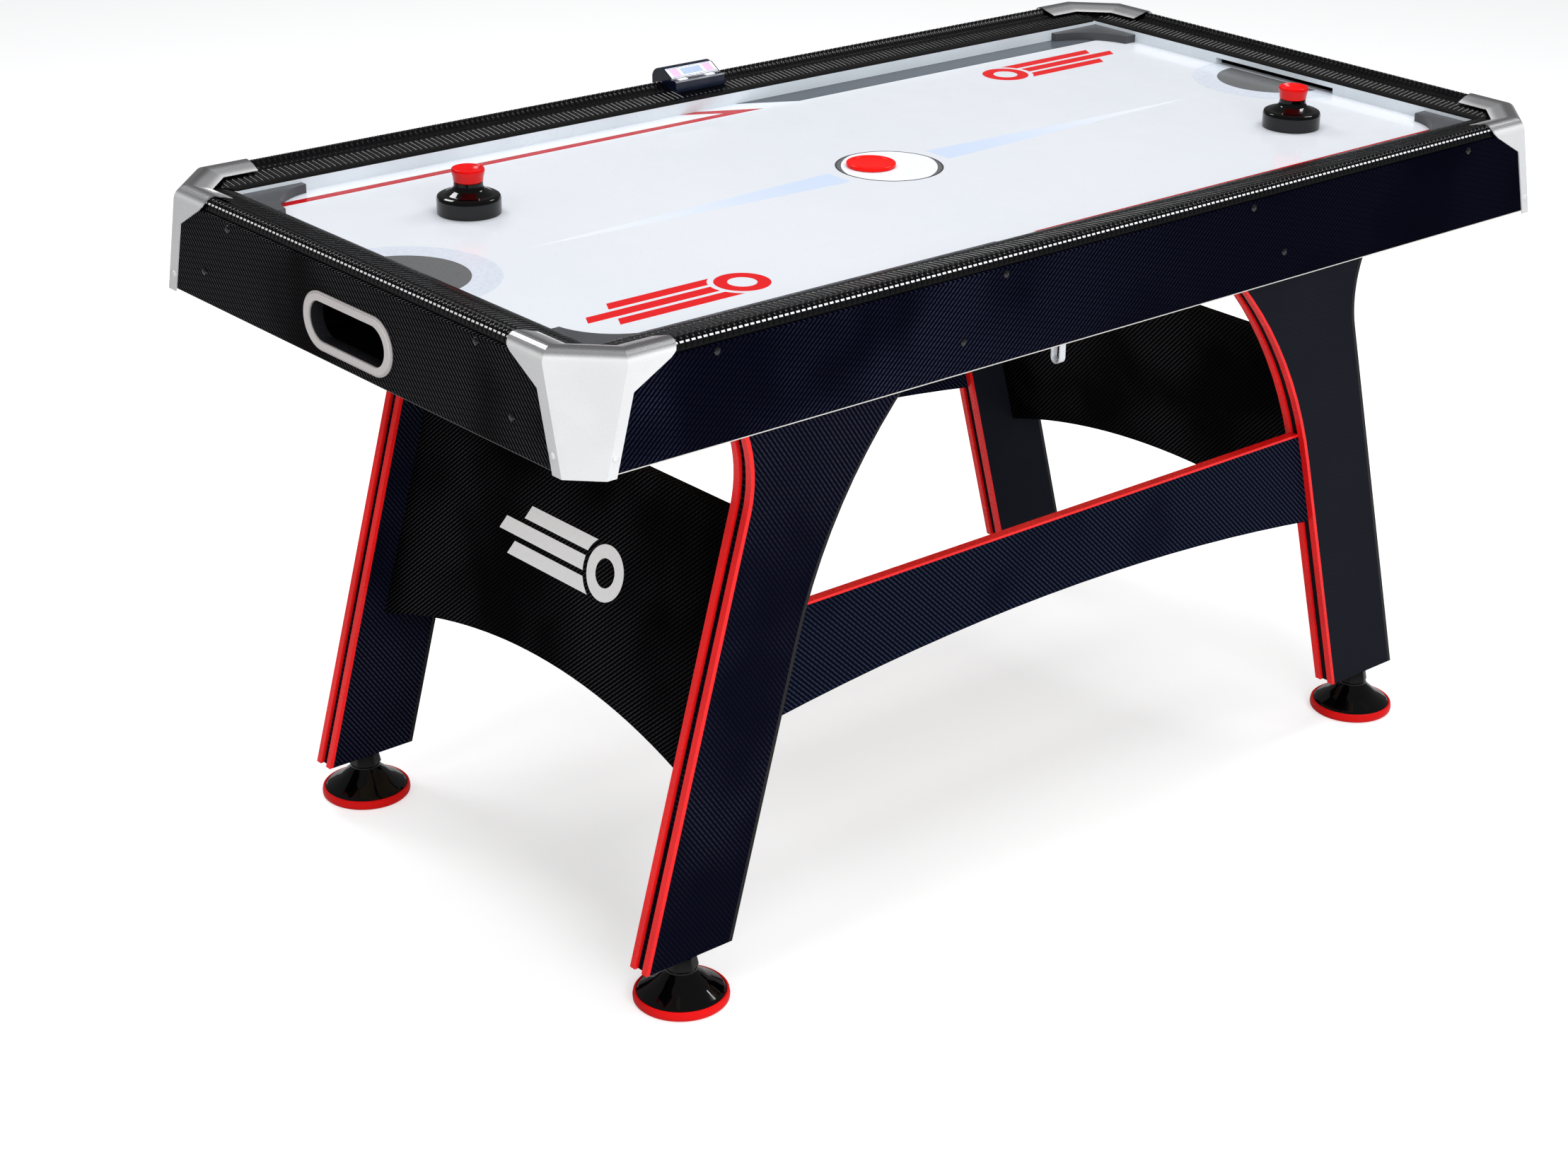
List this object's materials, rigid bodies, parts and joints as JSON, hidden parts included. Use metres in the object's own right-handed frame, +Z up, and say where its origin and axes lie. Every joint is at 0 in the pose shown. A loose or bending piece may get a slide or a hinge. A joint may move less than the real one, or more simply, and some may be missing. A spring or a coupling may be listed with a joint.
{
  "type": "air hockey table",
  "caption": "Free-standing air hockey table: air-fed playing field with goals, blower and scorer in a railed cabinet on splayed legs, with mallets and a puck.",
  "frame": {"origin": "floor level under the middle of the table", "axes": "+X along the table's length, +Y across it to the side that carries the scorer, +Z up"},
  "size_m": [1.5316, 0.8221, 0.8352],
  "materials": {
    "apron_film": "black carbon-look film",
    "board": "raw fibreboard",
    "field": "printed white laminate",
    "wall_white": "white laminate",
    "rail_black": "ribbed black moulding",
    "silver_plastic": "silver gloss paint",
    "grey_plastic": "dark grey satin",
    "black_plastic": "black satin",
    "motor_steel": "zinc plated",
    "white_plastic": "white gloss",
    "scorer_navy": "navy black gloss",
    "scorer_label": "printed label",
    "circuit_green": "circuit board",
    "leg_black": "black satin",
    "trim_red": "red gloss",
    "panel_black": "black carbon-look film",
    "clear_clip": "clear gloss",
    "gloss_black": "black gloss",
    "ring_red": "red rubber",
    "gloss_red": "red gloss",
    "screw_black": "black oxide"
  },
  "bodies": {
    "table": {"apron_near": "apron_film", "apron_far": "apron_film", "apron_left": "apron_film", "apron_right": "apron_film", "bottom_panel": "board", "plenum_floor": "board", "plenum_ribs": "board", "playfield": "field", "side_walls": "wall_white", "end_walls": "wall_white", "rail_near": "rail_black", "rail_far": "rail_black", "rail_left": "rail_black", "rail_right": "rail_black", "cap_near_left": "silver_plastic", "cap_near_right": "silver_plastic", "cap_far_left": "silver_plastic", "cap_far_right": "silver_plastic", "corner_guards": "grey_plastic", "goal_box_left": "black_plastic", "goal_box_right": "black_plastic", "return_bezel_left": "silver_plastic", "return_bezel_right": "silver_plastic", "blower_housing": "black_plastic", "blower_grille": "black_plastic", "blower_motor": "motor_steel", "power_inlet": "black_plastic", "scorer_case": "scorer_navy", "scorer_face": "scorer_label", "scorer_board": "circuit_green", "leg_near_left": "leg_black", "leg_near_right": "leg_black", "leg_far_left": "leg_black", "leg_far_right": "leg_black", "leg_trims_near": "trim_red", "leg_trims_far": "trim_red", "end_panel_left": "panel_black", "end_panel_right": "panel_black", "stretchers": "panel_black", "cable_clip": "clear_clip", "stretcher_trims": "trim_red", "screws": "screw_black"},
    "foot_near_left": {"foot_near_left": "gloss_black", "foot_ring_near_left": "ring_red"},
    "foot_near_right": {"foot_near_right": "gloss_black", "foot_ring_near_right": "ring_red"},
    "foot_far_left": {"foot_far_left": "gloss_black", "foot_ring_far_left": "ring_red"},
    "foot_far_right": {"foot_far_right": "gloss_black", "foot_ring_far_right": "ring_red"},
    "mallet_1": {"mallet_base_1": "gloss_black", "mallet_knob_1": "gloss_red"},
    "mallet_2": {"mallet_base_2": "gloss_black", "mallet_knob_2": "gloss_red"},
    "puck": {"puck": "gloss_red"},
    "impeller": {"impeller": "white_plastic"},
    "key_1": {"score_button_1": "white_plastic"},
    "key_2": {"score_button_2": "white_plastic"},
    "key_3": {"score_button_3": "white_plastic"},
    "key_4": {"score_button_4": "white_plastic"}
  },
  "joints": [
    {"name": "foot_screw_near_left", "type": "slide", "parent": "table", "child": "foot_near_left", "axis": [0, 0, 1], "range_m": [-0.012, 0]},
    {"name": "foot_screw_near_right", "type": "slide", "parent": "table", "child": "foot_near_right", "axis": [0, 0, 1], "range_m": [-0.012, 0]},
    {"name": "foot_screw_far_left", "type": "slide", "parent": "table", "child": "foot_far_left", "axis": [0, 0, 1], "range_m": [-0.012, 0]},
    {"name": "foot_screw_far_right", "type": "slide", "parent": "table", "child": "foot_far_right", "axis": [0, 0, 1], "range_m": [-0.012, 0]},
    {"name": "mallet_1_slide", "type": "slide", "parent": "table", "child": "mallet_1", "axis": [1, 0, 0], "range_m": [-0.15, 0.46]},
    {"name": "mallet_2_slide", "type": "slide", "parent": "table", "child": "mallet_2", "axis": [1, 0, 0], "range_m": [-0.48, 0.125]},
    {"name": "puck_slide", "type": "slide", "parent": "table", "child": "puck", "axis": [1, 0, 0], "range_m": [-0.64, 0.67]},
    {"name": "impeller_spin", "type": "hinge", "parent": "table", "child": "impeller", "pos_m": [0, 0, 0.72], "axis": [0, 0, 1], "continuous": true},
    {"name": "key_press_1", "type": "slide", "parent": "table", "child": "key_1", "axis": [0, 0, 1], "range_m": [-0.0012, 0], "stiffness_N_per_m": 400, "springref_m": 0.0004},
    {"name": "key_press_2", "type": "slide", "parent": "table", "child": "key_2", "axis": [0, 0, 1], "range_m": [-0.0012, 0], "stiffness_N_per_m": 400, "springref_m": 0.0004},
    {"name": "key_press_3", "type": "slide", "parent": "table", "child": "key_3", "axis": [0, 0, 1], "range_m": [-0.0012, 0], "stiffness_N_per_m": 400, "springref_m": 0.0004},
    {"name": "key_press_4", "type": "slide", "parent": "table", "child": "key_4", "axis": [0, 0, 1], "range_m": [-0.0012, 0], "stiffness_N_per_m": 400, "springref_m": 0.0004}
  ]
}
